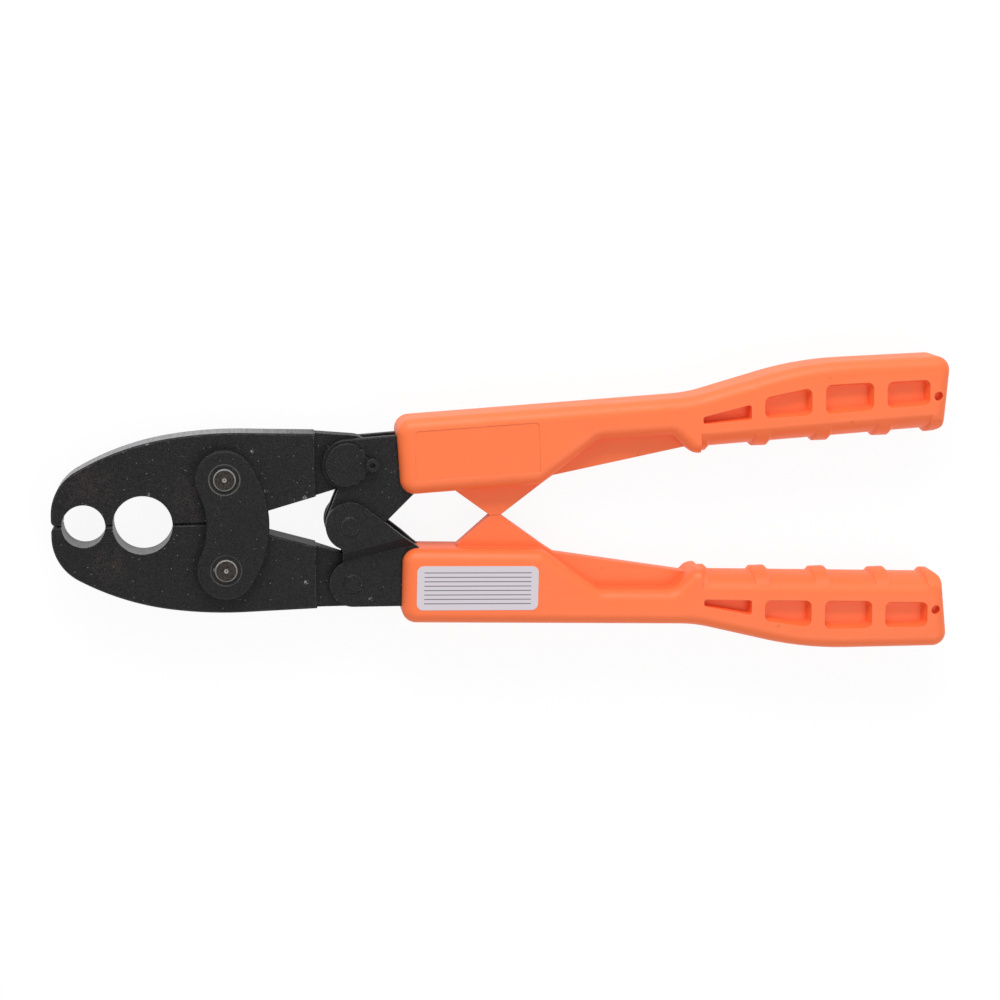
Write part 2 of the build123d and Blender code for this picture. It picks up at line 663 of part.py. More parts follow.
def grip_web(side):
    """The thin web on a grip's inner side, with the stop that meets the other grip's."""
    plane = GRIP_PLANES[side]
    tips = [
        plane.to_local_coords(HANDLE.from_local_coords(Vector(x, STOP_LEVEL + side * STOP_GAP / 2)))
        for x in (STOP_TIP_FIRST_X, STOP_TIP_LAST_X)
    ]
    with BuildSketch(plane.offset(-WEB_THICKNESS / 2)) as outline:
        Polygon(
            *flip(side, STOP_FOOT),
            *[(tip.X, tip.Y) for tip in tips],
            *flip(side, STOP_HEEL, WEB_START, WEB_END, WEB_ROOT_END, WEB_ROOT_START),
            align=None,
        )
    extrude(outline.sketch, amount=WEB_THICKNESS)


def round_hand(side, end_x, reach):
    """Round a grip's inner side to half an ellipse across it, from the first rib as far as end_x."""
    grip_plane = GRIP_PLANES[side]
    start = grip_plane.from_local_coords(Vector(RIB_FIRST_X, side * hand_edge(RIB_FIRST_X)))
    end = grip_plane.from_local_coords(Vector(end_x, side * hand_edge(end_x)))
    along = end - start
    inward = Axis.Z.direction.cross(along) * side
    across = Plane(start, x_dir=inward, z_dir=along)
    with BuildSketch(across) as waste:
        with Locations((0, 0)):
            Rectangle(2 * HAND_ROUND, 2 * (GRIP_FACE + GRIP_EDGE_RADIUS))
        with Locations((HAND_ROUND, 0)):
            Ellipse(reach, GRIP_FACE + HAND_CREASE, mode=Mode.SUBTRACT)
    extrude(waste.sketch, amount=along.length, mode=Mode.SUBTRACT)


def rib(side, x, width):
    """A finger rib that runs over the grip's inner side and fades into both faces."""
    grip_plane = GRIP_PLANES[side]
    place = grip_plane.from_local_coords(Vector(x, side * (hand_edge(x) + HAND_ROUND)))
    across = Plane(place, x_dir=grip_plane.y_dir, z_dir=grip_plane.x_dir)
    with BuildSketch(across) as profile:
        Ellipse(HAND_ROUND + RIB_HEIGHT, GRIP_FACE - RIB_FADE)
    with BuildPart() as bar:
        extrude(profile.sketch, amount=width / 2, both=True)
        ends = bar.faces().sort_by(Axis(grip_plane.origin, grip_plane.x_dir))
        chamfer(ends[0].edges() + ends[-1].edges(), RIB_CHAMFER)
    return bar.part


def pocket(side, corners, radius, draft):
    """The waste of a drafted pocket in a grip's front face, and of its mirror image in the rear one."""
    with BuildPart() as waste:
        with BuildSketch(GRIP_PLANES[side].offset(GRIP_FACE)) as outline:
            Polygon(*flip(side, *corners), align=None)
            fillet(outline.vertices(), radius)
        extrude(outline.sketch, amount=-POCKET_DEPTH, taper=draft)
        mirror(about=Plane.XY)
    return waste.part


def bare_panel(side):
    """A shallow recess with round corners in the front face of a grip."""
    with BuildSketch(GRIP_PLANES[side].offset(GRIP_FACE)) as outline:
        Polygon(*flip(side, *PANEL), align=None)
        fillet(outline.vertices(), PANEL_CORNER_RADIUS)
    extrude(outline.sketch, amount=-PANEL_DEPTH, mode=Mode.SUBTRACT)


def grip(side, steel):
    """A whole grip moulded around the steel inside it."""
    ribs = [rib(side, RIB_FIRST_X + i * RIB_SPACING, RIB_WIDTH) for i in range(RIB_COUNT)]
    ribs.append(rib(side, END_RIB_X, END_RIB_WIDTH))
    pockets = [pocket(side, corners, POCKET_CORNER_RADIUS, POCKET_DRAFT) for corners in POCKETS]
    pockets.append(pocket(side, SLENDER_POCKET, SLENDER_POCKET_CORNER_RADIUS, SLENDER_POCKET_DRAFT))
    with BuildPart() as body:
        extrude(grip_outline(side), amount=GRIP_THICKNESS)
        fillet(outline_edges(body, GRIP_FACE) + outline_edges(body, -GRIP_FACE), GRIP_EDGE_RADIUS)
        round_hand(side, END_RIB_X, HAND_ROUND)
        round_hand(side, GRIP_OUTER_END[0], HAND_ROUND + RIB_HEIGHT)
        grip_web(side)
        add(ribs)
        add(pockets, mode=Mode.SUBTRACT)
        drill(GRIP_PLANES[side].offset(GRIP_FACE), flip(side, DOT), DOT_RADIUS, DOT_DEPTH)
        if side > 0:
            bare_panel(side)
        for piece in steel:
            add(piece.part, mode=Mode.SUBTRACT)
    return body


upper_grip = grip(
    1, (upper_arm_front_plate, upper_arm_rear_plate, upper_arm_spacer, upper_arm_rivets)
)
lower_grip = grip(
    -1, (lower_arm_front_plate, lower_arm_rear_plate, lower_arm_spacer, lower_arm_rivets)
)

PIECES = {
    "front_link_plate": front_link_plate,
    "rear_link_plate": rear_link_plate,
    "upper_jaw_pin": upper_jaw_pin,
    "lower_jaw_pin": lower_jaw_pin,
    "upper_jaw": upper_jaw,
    "lower_jaw": lower_jaw,
    "upper_arm_front_plate": upper_arm_front_plate,
    "upper_arm_rear_plate": upper_arm_rear_plate,
    "adjusting_cam": adjusting_cam,
    "cam_washer": cam_washer,
    "cam_retaining_ring": cam_retaining_ring,
    "cam_lock_screw": cam_lock_screw,
    "upper_arm_spacer": upper_arm_spacer,
    "upper_arm_rivets": upper_arm_rivets,
    "upper_grip": upper_grip,
    "lower_arm_front_plate": lower_arm_front_plate,
    "lower_arm_rear_plate": lower_arm_rear_plate,
    "centre_pin": centre_pin,
    "centre_spacer": centre_spacer,
    "lower_arm_pin": lower_arm_pin,
    "lower_arm_spacer": lower_arm_spacer,
    "lower_arm_rivets": lower_arm_rivets,
    "lower_grip": lower_grip,
}

BOXES = [piece.part.bounding_box() for piece in PIECES.values()]
ORIGIN = Vector(
    (min(box.min.X for box in BOXES) + max(box.max.X for box in BOXES)) / 2,
    (min(box.min.Y for box in BOXES) + max(box.max.Y for box in BOXES)) / 2,
    min(box.min.Z for box in BOXES),
)
os.makedirs("parts", exist_ok=True)
for name, piece in PIECES.items():
    piece.part = piece.part.moved(Location(-ORIGIN))
    piece.part.label = name
    export_step(piece.part, f"parts/{name}.step")
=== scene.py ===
import json
from math import cos, pi, radians, sin

import bpy
import numpy as np
from mathutils import Matrix, Vector

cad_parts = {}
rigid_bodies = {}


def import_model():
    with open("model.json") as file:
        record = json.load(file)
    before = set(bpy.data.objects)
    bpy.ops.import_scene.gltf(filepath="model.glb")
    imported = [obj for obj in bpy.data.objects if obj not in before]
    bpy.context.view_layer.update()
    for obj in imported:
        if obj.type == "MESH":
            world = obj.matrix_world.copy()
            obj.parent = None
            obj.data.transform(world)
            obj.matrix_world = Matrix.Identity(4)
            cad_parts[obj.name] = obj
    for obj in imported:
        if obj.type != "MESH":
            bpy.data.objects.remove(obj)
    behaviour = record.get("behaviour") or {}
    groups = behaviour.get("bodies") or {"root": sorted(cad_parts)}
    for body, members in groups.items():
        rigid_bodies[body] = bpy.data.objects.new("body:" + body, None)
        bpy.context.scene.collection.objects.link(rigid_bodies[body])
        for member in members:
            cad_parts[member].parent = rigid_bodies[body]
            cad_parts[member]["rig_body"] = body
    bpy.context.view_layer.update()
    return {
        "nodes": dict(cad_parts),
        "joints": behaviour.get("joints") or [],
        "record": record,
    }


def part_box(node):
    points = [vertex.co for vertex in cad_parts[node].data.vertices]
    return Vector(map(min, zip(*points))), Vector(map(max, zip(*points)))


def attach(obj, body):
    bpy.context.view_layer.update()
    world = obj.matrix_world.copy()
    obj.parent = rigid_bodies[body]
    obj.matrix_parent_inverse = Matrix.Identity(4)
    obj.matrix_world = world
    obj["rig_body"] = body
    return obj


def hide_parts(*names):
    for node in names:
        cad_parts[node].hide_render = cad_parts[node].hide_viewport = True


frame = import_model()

bl_info = {
    "name": "Ring Crimping Tool",
    "version": (1, 0, 0),
    "blender": (4, 5, 0),
    "location": "View3D > Sidebar > Crimping Tool",
    "description": "Dresses a packed ring crimping tool with its finishes and sticker",
    "category": "Object",
}

MM = 0.001
JOINTS = {joint["name"]: joint for joint in frame["joints"]}
MOUNTS = {mount["name"]: mount for mount in frame["record"]["mounts"]}
BODY_OF = {node: piece["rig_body"] for node, piece in frame["nodes"].items()}

# The handles' own plane: its origin is the centre pin, and it leans a little off the head.
CENTRE_PIN = Vector(JOINTS["centre_hinge"]["pos_m"])
HANDLE_SKEW = radians(1.1)
GRIP_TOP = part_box("lower_grip")[1].z

# Radii of a jaw pin's end and of the dish that it stands in, in millimetres.
JAW_PIN_END = 3.9
LINK_DISH = 5.3

# The outer wall's faces lie further from the dies' line than this, in millimetres, and the plain
# jaw ends where its heel steps in, so far right of the jaws' pins.
WALL_CLEARANCE = 3.0
JAW_HEEL_X = JOINTS["upper_jaw_hinge"]["pos_m"][0] + 32.0 * MM


def on_handle(x, y, z):
    """A point of the handles' plane, given in millimetres, as row coordinates in metres."""
    return Vector(
        (
            CENTRE_PIN.x + (x * cos(HANDLE_SKEW) - y * sin(HANDLE_SKEW)) * MM,
            CENTRE_PIN.y + (x * sin(HANDLE_SKEW) + y * cos(HANDLE_SKEW)) * MM,
            z,
        )
    )


class Wire:
    """A value socket of a shader. Arithmetic on it adds one Math node a step."""

    def __init__(self, tree, socket):
        self.tree = tree
        self.socket = socket

    def math(self, operation, *others, first=None):
        node = self.tree.nodes.new("ShaderNodeMath")
        node.operation = operation
        values = (self, *others) if first is None else (first, self)
        for slot, value in zip(node.inputs, values):
            if isinstance(value, Wire):
                self.tree.links.new(value.socket, slot)
            else:
                slot.default_value = value
        return Wire(self.tree, node.outputs[0])

    def __add__(self, other):
        return self.math("ADD", other)

    __radd__ = __add__

    def __sub__(self, other):
        return self.math("SUBTRACT", other)

    def __rsub__(self, other):
        return self.math("SUBTRACT", first=other)

    def __mul__(self, other):
        return self.math("MULTIPLY", other)

    __rmul__ = __mul__

    def __truediv__(self, other):
        return self.math("DIVIDE", other)

    def __abs__(self):
        return self.math("ABSOLUTE")

    def __gt__(self, other):
        return self.math("GREATER_THAN", other)

    def __lt__(self, other):
        return self.math("LESS_THAN", other)

    def fraction(self):
        return self.math("FRACT")

    def power(self, other):
        return self.math("POWER", other)


class Finish:
    """A material and the calls that add nodes to it."""

    def __init__(self, name):
        self.material = bpy.data.materials.new(name)
        self.material.use_nodes = True
        self.tree = self.material.node_tree
        self.tree.nodes.clear()

    def node(self, kind, settings=(), sockets=(), out=0):
        """Add a node, set it up, fill its sockets with values or wires, and return one output."""
        node = self.tree.nodes.new(kind)
        for key, value in dict(settings).items():
            setattr(node, key, value)
        for key, value in dict(sockets).items():
            if isinstance(value, Wire):
                self.tree.links.new(value.socket, node.inputs[key])
            else:
                node.inputs[key].default_value = value
        return Wire(self.tree, node.outputs[out]) if node.outputs else node

    def place(self, stretch=(1, 1, 1), turn=0.0):
        """Object coordinates, stretched and turned about Z."""
        spot = self.node("ShaderNodeTexCoord", out="Object")
        return self.node(
            "ShaderNodeMapping", {}, {"Vector": spot, "Scale": stretch, "Rotation": (0, 0, turn)}
        )

    def noise(self, spot, size, detail=2.0, roughness=0.5):
        """Cloudy noise whose blobs are about size millimetres across, from 0 to 1."""
        sockets = {"Vector": spot, "Scale": 1 / (size * MM), "Detail": detail, "Roughness": roughness}
        return self.node("ShaderNodeTexNoise", {"noise_dimensions": "3D"}, sockets)

    def step(self, value, low, high):
        """A smooth rise from 0 at low to 1 at high."""
        sockets = {"Value": value, "From Min": low, "From Max": high}
        return self.node("ShaderNodeMapRange", {"interpolation_type": "SMOOTHSTEP"}, sockets)

    def blend(self, factor, first, second, kind="MIX"):
        """Mix two colours."""
        settings = {"data_type": "RGBA", "blend_type": kind}
        return self.node("ShaderNodeMix", settings, {0: factor, 6: first, 7: second}, out=2)

    def specks(self, spot, size, share):
        """Sparse round specks, one to a cell of size millimetres, in a share of the cells."""
        cells = self.tree.nodes.new("ShaderNodeTexVoronoi")
        cells.inputs["Scale"].default_value = 1 / (size * MM)
        self.tree.links.new(spot.socket, cells.inputs["Vector"])
        distance = Wire(self.tree, cells.outputs["Distance"])
        colour = Wire(self.tree, cells.outputs["Color"])
        pick = self.node("ShaderNodeSeparateColor", {}, {"Color": colour}, out="Red")
        return self.step(distance, 0.22, 0.1) * (pick > 1 - share)

    def edges(self, radius):
        """1 on a sharp edge, falling to 0 about radius millimetres into the faces beside it."""
        rounded = self.node("ShaderNodeBevel", {"samples": 6}, {"Radius": radius * MM})
        flat = self.node("ShaderNodeNewGeometry", out="True Normal")
        along = self.node("ShaderNodeVectorMath", {"operation": "DOT_PRODUCT"}, {0: rounded, 1: flat}, out=1)
        return self.step(1 - along, 0.01, 0.2)

    def away(self, centre):
        """Distance from the upright axis through a point, in metres."""
        spot = self.node("ShaderNodeTexCoord", out="Object")
        x = self.node("ShaderNodeSeparateXYZ", {}, {"Vector": spot}, out="X") - centre[0]
        y = self.node("ShaderNodeSeparateXYZ", {}, {"Vector": spot}, out="Y") - centre[1]
        return (x * x + y * y).power(0.5)

    def ring(self, centre, radius, width):
        """1 on a ring of a radius and width in millimetres round an upright axis, 0 off it."""
        return self.step(abs(self.away(centre) - radius * MM), width * MM, width * MM * 0.4)

    def bump(self, height, strength, depth, radius=None):
        """A normal from a height in 0 to 1 that stands for depth millimetres."""
        sockets = {"Height": height, "Strength": strength, "Distance": depth * MM}
        if radius:
            sockets["Normal"] = self.node("ShaderNodeBevel", {"samples": 6}, {"Radius": radius * MM})
        return self.node("ShaderNodeBump", {}, sockets)

    def surface(self, **sockets):
        """Close the material with a Principled surface."""
        named = {key.replace("_", " "): value for key, value in sockets.items()}
        shader = self.node("ShaderNodeBsdfPrincipled", {}, named)
        self.node("ShaderNodeOutputMaterial", {}, {"Surface": shader})
        return self.material


def steel_grain(f):
    """Fine grain and blotches, both from 0 to 1."""
    spot = f.place()
    return f.noise(spot, 0.5, 4.0, 0.75), f.noise(spot, 3.0, 3.0, 0.6)


def black_oxide(name, look, worn=1.0, grain=1.0, dusty=(), rings=()):
    """Blackened steel: light grain, sparse specks, short hairs and bare metal on its edges.

    dusty lists places where brown dust lies, with its reach in millimetres, and rings lists painted
    highlights, light rings at the edge of the dish that a pin stands in: centre, radius and width in
    millimetres, and strength."""
    f = Finish(name)
    fine, patch = steel_grain(f)
    spot = f.place()
    cloud = f.noise(spot, 12.0, 3.0)
    hair = f.noise(f.place((1.0, 9.0, 1.0), 0.45), 3.2, 2.0)
    rub = f.edges(0.22) * f.step(patch + fine * 0.5, 0.55, 0.85)
    base = tuple(look.oxide_colour) + (1,)
    light = tuple(look.dust_colour) + (1,)
    bare = tuple(look.bare_colour) + (1,)
    colour = f.blend(f.step(fine, 0.36, 0.68) * (0.55 + cloud * 0.5), base, light)
    for centre, reach in dusty:
        cover = f.step(f.away(centre), reach * MM, reach * MM * 0.3) * f.step(fine + patch * 0.5, 0.66, 0.9)
        colour = f.blend(cover * look.dust, colour, tuple(look.brown_colour) + (1,))
    colour = f.blend(f.specks(spot, 1.1, 0.1) * 0.35 * grain, colour, bare)
    colour = f.blend(f.specks(spot, 4.5, 0.07) * f.step(fine, 0.45, 0.6) * 0.8 * grain, colour, bare)
    colour = f.blend(f.step(hair, 0.72, 0.78) * 0.16 * grain, colour, bare)
    colour = f.blend(rub * look.wear * worn, colour, bare)
    # Painted highlight: each ring is a light band at a pin's dish, blended towards bare steel.
    for centre, radius, width, strength in rings:
        dish_rim_highlight = f.ring(centre, radius, width) * (0.4 + patch)
        colour = f.blend(dish_rim_highlight * strength, colour, bare)
    return f.surface(
        Base_Color=colour,
        Metallic=0.0,
        Specular_IOR_Level=look.oxide_gloss,
        Roughness=look.oxide_roughness + (fine - 0.5) * 0.2 - rub * 0.1,
        Normal=f.bump(fine * 0.6 + patch * 0.4, 0.35, 0.03, 0.2),
    )


def milled_wall_painted_reflection(name, look, reflection_start_x, reflection_end_x):
    """The jaws' outer wall: milled across its width, with a painted reflection that is silver near the nose
    and fades to dark grain towards the heel.
    """
    f = Finish(name)
    cuts = f.noise(f.place((6.0, 1.0, 0.4)), 5.0, 3.0, 0.6)
    fine, patch = steel_grain(f)
    spot = f.node("ShaderNodeTexCoord", out="Object")
    along = f.node("ShaderNodeSeparateXYZ", {}, {"Vector": spot}, out="X")
    # Painted reflection: the wall is silver before the first x and fades to the dark grain colour by the
    # second, and the milling cuts darken it in streaks.
    black = f.step(along, reflection_start_x, reflection_end_x) * 0.9 + f.step(cuts + patch * 0.4, 0.6, 0.9) * 0.25
    painted_reflection_colour = tuple(look.wall_reflection_colour) + (1,)
    colour = f.blend(black, painted_reflection_colour, tuple(look.dust_colour) + (1,))
    return f.surface(
        Base_Color=colour,
        Metallic=0.3,
        Specular_IOR_Level=look.oxide_gloss,
        Roughness=0.45 + fine * 0.15,
        Normal=f.bump(cuts * 0.7 + fine * 0.3, 0.3, 0.03, 0.2),
    )


def ground_steel(name, look):
    """Bored steel of the dies: grey, with turning marks round the bore and dark stains."""
    f = Finish(name)
    rings = f.noise(f.place((1, 1, 22)), 6.0, 3.0, 0.6)
    stain = f.noise(f.place(), 2.5, 3.0, 0.6)
    bare = tuple(look.bore_colour) + (1,)
    dark = tuple(look.dust_colour) + (1,)
    colour = f.blend(f.step(stain, 0.42, 0.7) * 0.5 + rings * 0.3, bare, dark)
    return f.surface(
        Base_Color=colour, Metallic=0.3, Roughness=0.4 + rings * 0.15, Normal=f.bump(rings, 0.3, 0.02, 0.2)
    )


def turned_pin(name, look, centre, radius):
    """A pin's end: brownish and grainy, with a bright rim and a bright ring round its centre mark."""
    f = Finish(name)
    fine, patch = steel_grain(f)
    bare = tuple(look.bare_colour) + (1,)
    colour = f.blend(f.step(fine, 0.35, 0.7), tuple(look.oxide_colour) + (1,), tuple(look.pin_colour) + (1,))
    rim = f.ring(centre, radius - 0.2, 0.3) * (0.35 + patch)
    mark = f.ring(centre, 0.5, 0.35)
    colour = f.blend(rim * 0.9, colour, bare)
    colour = f.blend(mark * 0.9, colour, bare)
    return f.surface(
        Base_Color=colour,
        Specular_IOR_Level=look.oxide_gloss,
        Roughness=look.oxide_roughness,
        Normal=f.bump(fine, 0.4, 0.03, 0.2),
    )


def moulded_grip(name, look):
    """Moulded orange plastic: fine spark texture, faint flow clouding, and a painted highlight that lightens
    the edges.
    """
    f = Finish(name)
    spot = f.place()
    grain = f.noise(spot, 0.28, 3.0, 0.6)
    cloud = f.noise(spot, 14.0, 2.0)
    smear = f.noise(f.place((0.4, 1, 1)), 3.5, 3.0, 0.6)
    nicks = f.specks(spot, 4.2, 0.1)
    base = tuple(look.grip_colour) + (1,)
    deep = tuple(c * look.grip_shade for c in look.grip_colour) + (1,)
    painted_edge_highlight = tuple(look.grip_edge_highlight_colour) + (1,)
    colour = f.blend(f.step(cloud * 0.6 + smear * 0.4, 0.3, 0.75) * 0.5, base, deep)
    # Painted highlight: the edges are lightened towards a pale orange, as if they caught the light.
    colour = f.blend(f.edges(0.5) * 0.35, colour, painted_edge_highlight)
    colour = f.blend(nicks * 0.25, colour, (0.35, 0.09, 0.04, 1))
    return f.surface(
        Base_Color=colour,
        Roughness=look.grip_roughness + (smear - 0.5) * 0.12,
        Specular_IOR_Level=0.42,
        Normal=f.bump(grain, 0.35, 0.02, 0.3),
    )


def label_film(name, look):
    """Pale sticker film with thin ruled lines, in the sticker's own UV map."""
    f = Finish(name)
    uv = f.node("ShaderNodeUVMap", {"uv_map": "label"})
    u = f.node("ShaderNodeSeparateXYZ", {}, {"Vector": uv}, out="X")
    v = f.node("ShaderNodeSeparateXYZ", {}, {"Vector": uv}, out="Y")
    row = (v * look.rows).fraction()
    line = f.step(abs(row - 0.5), look.line_share, look.line_share * 0.6)
    inside = (u > 0.06) * (u < 0.94) * (v > 0.1) * (v < 0.9)
    fleck = f.noise(f.place(), 0.5, 3.0)
    film = tuple(look.film_colour) + (1,)
    worn_film = tuple(c * 0.9 for c in look.film_colour) + (1,)
    paper = f.blend(fleck * 0.5, film, worn_film)
    colour = f.blend(line * inside * 0.85, paper, tuple(look.ink_colour) + (1,))
    return f.surface(Base_Color=colour, Roughness=0.35 + fleck * 0.1, Normal=f.bump(fleck, 0.1, 0.01))


def node_surface(node):
    """A CAD node's triangles as merged points and faces: equal corners become one point."""
    mesh = frame["nodes"][node].data
    points = np.empty(len(mesh.vertices) * 3)
    mesh.vertices.foreach_get("co", points)
    corners = np.empty(len(mesh.loops), int)
    mesh.loops.foreach_get("vertex_index", corners)
    keys = np.round(points.reshape(-1, 3) / 1e-7).astype(np.int64)
    _, first, merged = np.unique(keys, axis=0, return_index=True, return_inverse=True)
    faces = merged.reshape(-1)[corners].reshape(-1, 3)
    whole = (faces[:, 0] != faces[:, 1]) & (faces[:, 1] != faces[:, 2]) & (faces[:, 2] != faces[:, 0])
    return points.reshape(-1, 3)[first], faces[whole]


def make_piece(name, points, faces, materials, body, smooth=radians(35)):
    """Put points and faces into a new mesh object that rides on a body."""
    mesh = bpy.data.meshes.new(name)
    mesh.from_pydata(points.tolist(), [], faces.tolist())
    for material in materials:
        mesh.materials.append(material)
    mesh.polygons.foreach_set("use_smooth", np.ones(len(mesh.polygons), bool))
    mesh.set_sharp_from_angle(angle=smooth)
    piece = bpy.data.objects.new(name, mesh)
    bpy.context.scene.collection.objects.link(piece)
    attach(piece, body)
    return piece


def dress(node, name, materials, choose=None):
    """Replace a CAD node by its merged copy with weighted normals.

    choose gives each face's material from the face's middle and its normal."""
    points, faces = node_surface(node)
    piece = make_piece(name, points, faces, materials, BODY_OF[node])
    if choose:
        corners = points[faces]
        normals = np.cross(corners[:, 1] - corners[:, 0], corners[:, 2] - corners[:, 0])
        normals /= np.linalg.norm(normals, axis=1, keepdims=True) + 1e-12
        piece.data.polygons.foreach_set("material_index", choose(corners.mean(axis=1), normals).astype(int))
    weigh = piece.modifiers.new("even_shading", "WEIGHTED_NORMAL")
    weigh.keep_sharp = True
    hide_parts(node)
    return piece


def rounded_outline(half_x, half_y, radius, count):
    """A rounded rectangle: four quarter circles joined by straight sides, count points a corner."""
    angles = np.linspace(0, pi / 2, count)
    quarter = np.stack([np.cos(angles), np.sin(angles)], axis=1) * radius
    corners = []
    for index, (sx, sy) in enumerate(((1, 1), (-1, 1), (-1, -1), (1, -1))):
        turn = index * pi / 2
        rotated = quarter @ np.array([[np.cos(turn), np.sin(turn)], [-np.sin(turn), np.cos(turn)]])
        corners.append(rotated + [sx * (half_x - radius), sy * (half_y - radius)])
    return np.concatenate(corners)


class SteelLook(bpy.types.PropertyGroup):
    """Colours and wear of the blackened steel."""

    oxide_colour: bpy.props.FloatVectorProperty(
        name="Oxide", description="Blackened face", subtype="COLOR", default=(0.0075, 0.0072, 0.0078)
    )
    dust_colour: bpy.props.FloatVectorProperty(
        name="Grain", description="Lighter grain", subtype="COLOR", default=(0.032, 0.031, 0.033)
    )
    brown_colour: bpy.props.FloatVectorProperty(
        name="Brown", description="Brown dust", subtype="COLOR", default=(0.13, 0.085, 0.06)
    )
    pin_colour: bpy.props.FloatVectorProperty(
        name="Pin", description="Lighter grain of a pin's end", subtype="COLOR", default=(0.075, 0.06, 0.05)
    )
    # Colour of the painted reflection on the jaws' outer wall.
    wall_reflection_colour: bpy.props.FloatVectorProperty(
        name="Wall reflection", description="Outer wall of the jaws", subtype="COLOR", default=(0.3, 0.3, 0.31)
    )
    bare_colour: bpy.props.FloatVectorProperty(
        name="Bare", description="Steel on rubbed edges", subtype="COLOR", default=(0.36, 0.35, 0.33)
    )
    bore_colour: bpy.props.FloatVectorProperty(
        name="Bore", description="Ground wall of a die", subtype="COLOR", default=(0.2, 0.2, 0.2)
    )
    oxide_roughness: bpy.props.FloatProperty(name="Roughness", description="Of the oxide", default=0.5)
    oxide_gloss: bpy.props.FloatProperty(name="Gloss", description="Strength of reflections", default=0.18)
    wear: bpy.props.FloatProperty(name="Wear", description="Bare metal on edges", default=0.6)
    dust: bpy.props.FloatProperty(name="Dust", description="Brown dust by the dies", default=0.15)


class GripLook(bpy.types.PropertyGroup):
    """Colours of the moulded grips."""

    grip_colour: bpy.props.FloatVectorProperty(
        name="Plastic", description="Moulded plastic", subtype="COLOR", default=(1.0, 0.19, 0.055)
    )
    # Colour of the painted highlight on the grips' edges.
    grip_edge_highlight_colour: bpy.props.FloatVectorProperty(
        name="Edge highlight", description="Paler plastic on edges", subtype="COLOR", default=(1.0, 0.33, 0.2)
    )
    grip_shade: bpy.props.FloatProperty(name="Clouding", description="Darkest share", default=0.93)
    grip_roughness: bpy.props.FloatProperty(name="Roughness", description="Of the plastic", default=0.48)


class StickerLook(bpy.types.PropertyGroup):
    """Size, place and print of the sticker on the lower grip."""

    middle_x: bpy.props.FloatProperty(
        name="Middle X", description="Along the handle from its pin, in mm", default=44.1
    )
    middle_y: bpy.props.FloatProperty(
        name="Middle Y", description="Across the handle from its pin, in mm", default=-23.5
    )
    length: bpy.props.FloatProperty(name="Length", description="In mm", default=43.0)
    width: bpy.props.FloatProperty(name="Width", description="In mm", default=15.8)
    corner: bpy.props.FloatProperty(name="Corner", description="Corner radius in mm", default=2.3)
    turn: bpy.props.FloatProperty(
        name="Turn", description="Against the handle", subtype="ANGLE", default=radians(-2.4)
    )
    rows: bpy.props.FloatProperty(name="Rows", description="Ruled rows on the film", default=10.0)
    line_share: bpy.props.FloatProperty(
        name="Line", description="Half of a line's share of its row", default=0.13
    )
    film_colour: bpy.props.FloatVectorProperty(
        name="Film", description="Sticker film", subtype="COLOR", default=(0.66, 0.61, 0.66)
    )
    ink_colour: bpy.props.FloatVectorProperty(
        name="Ink", description="Ruled lines", subtype="COLOR", default=(0.05, 0.045, 0.06)
    )


class StageLook(bpy.types.PropertyGroup):
    """Camera, lamps and floor."""

    lens: bpy.props.FloatProperty(name="Lens", description="Focal length in mm", default=80.3)
    key: bpy.props.FloatProperty(
        name="Key", description="Power of the key lamp", subtype="POWER", default=9.0
    )
    fill: bpy.props.FloatProperty(name="Fill", description="Strength of the even light", default=0.55)


GROUPS = {
    "crimper_steel": SteelLook,
    "crimper_grip": GripLook,
    "crimper_sticker": StickerLook,
    "crimper_stage": StageLook,
}


def in_bore(middles, mount, slack):
    """Which points lie on or inside a die's wall, going by its mount."""
    centre = np.array(MOUNTS[mount]["pos_m"])
    away = np.hypot(middles[:, 0] - centre[0], middles[:, 1] - centre[1])
    return away < (MOUNTS[mount]["dims"]["r_mm"] + slack) * MM


def on_jaw(middles, normals):
    """2 for the jaws' outer wall, 1 for the bored die walls, 0 for the rest."""
    upright = np.abs(normals[:, 2]) < 0.9
    bored = in_bore(middles, "large_die", 0.2) | in_bore(middles, "small_die", 0.2)
    jaw_line = MOUNTS["large_die"]["pos_m"][1]
    outward = np.abs(middles[:, 1] - jaw_line) > WALL_CLEARANCE * MM
    outward &= normals[:, 1] * (middles[:, 1] - jaw_line) > 0
    outward &= np.abs(normals[:, 2]) < 0.3
    before_heel = middles[:, 0] < JAW_HEEL_X
    return np.where(upright & bored, 1, np.where(outward & before_heel, 2, 0))


class CRIMPER_OT_jaws(bpy.types.Operator):
    """Dress the two jaws, with ground walls in their dies"""

    bl_idname = "crimper.jaws"
    bl_label = "Jaws"

    def execute(self, context):
        look = context.scene.crimper_steel
        small = MOUNTS["small_die"]["pos_m"]
        large = MOUNTS["large_die"]["pos_m"]
        dusty = [
            ((small[0] + 3 * MM, small[1] + 14 * MM), 13.0),
            ((large[0] + 18 * MM, large[1] + 9 * MM), 11.0),
            ((large[0] - 12 * MM, large[1] - 14 * MM), 9.0),
        ]
        steel = black_oxide("jaw_oxide", look, 1.5, 1.4, dusty)
        bore = ground_steel("die_bore", look)
        # The outer wall gets a painted reflection, bright up to 20 mm right of the large die and gone by 75
        # mm.
        wall = milled_wall_painted_reflection("jaw_outer_wall", look, large[0] + 20 * MM, large[0] + 75 * MM)
        for node in ("upper_jaw", "lower_jaw"):
            dress(node, node + "_blackened", [steel, bore, wall], on_jaw)
        return {"FINISHED"}


